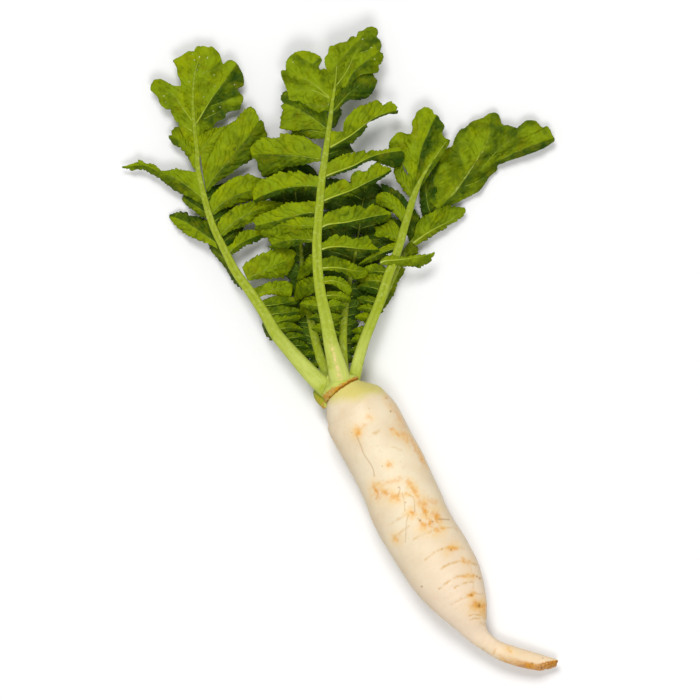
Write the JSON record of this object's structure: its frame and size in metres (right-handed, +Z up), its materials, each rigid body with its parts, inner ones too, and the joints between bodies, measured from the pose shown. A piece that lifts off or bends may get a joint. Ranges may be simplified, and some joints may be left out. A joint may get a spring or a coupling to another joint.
{
  "type": "daikon radish with leaves",
  "caption": "Long tapering white root with a thin bent tail, lying on its side, with a fan of lobed green leaves on pale stalks at its crown.",
  "frame": {"origin": "middle of the small flat under the root's belly, on which it rests", "axes": "+Z up from the surface it lies on, +Y along the root from its tip towards the crown and the leaves, +X towards the side to which the leaves fan out"},
  "size_m": [0.2884, 0.5405, 0.0532],
  "materials": {
    "root_skin": "satin",
    "leaf_green": "satin",
    "leaf_dark_green": "satin"
  },
  "bodies": {
    "root": {"root": "root_skin", "leaf_left": "leaf_green", "leaf_middle": "leaf_green", "leaf_right": "leaf_green", "leaf_far_right": "leaf_green", "leaf_inner_left": "leaf_dark_green", "leaf_inner_right": "leaf_dark_green", "leaf_stub": "leaf_dark_green"}
  },
  "joints": []
}
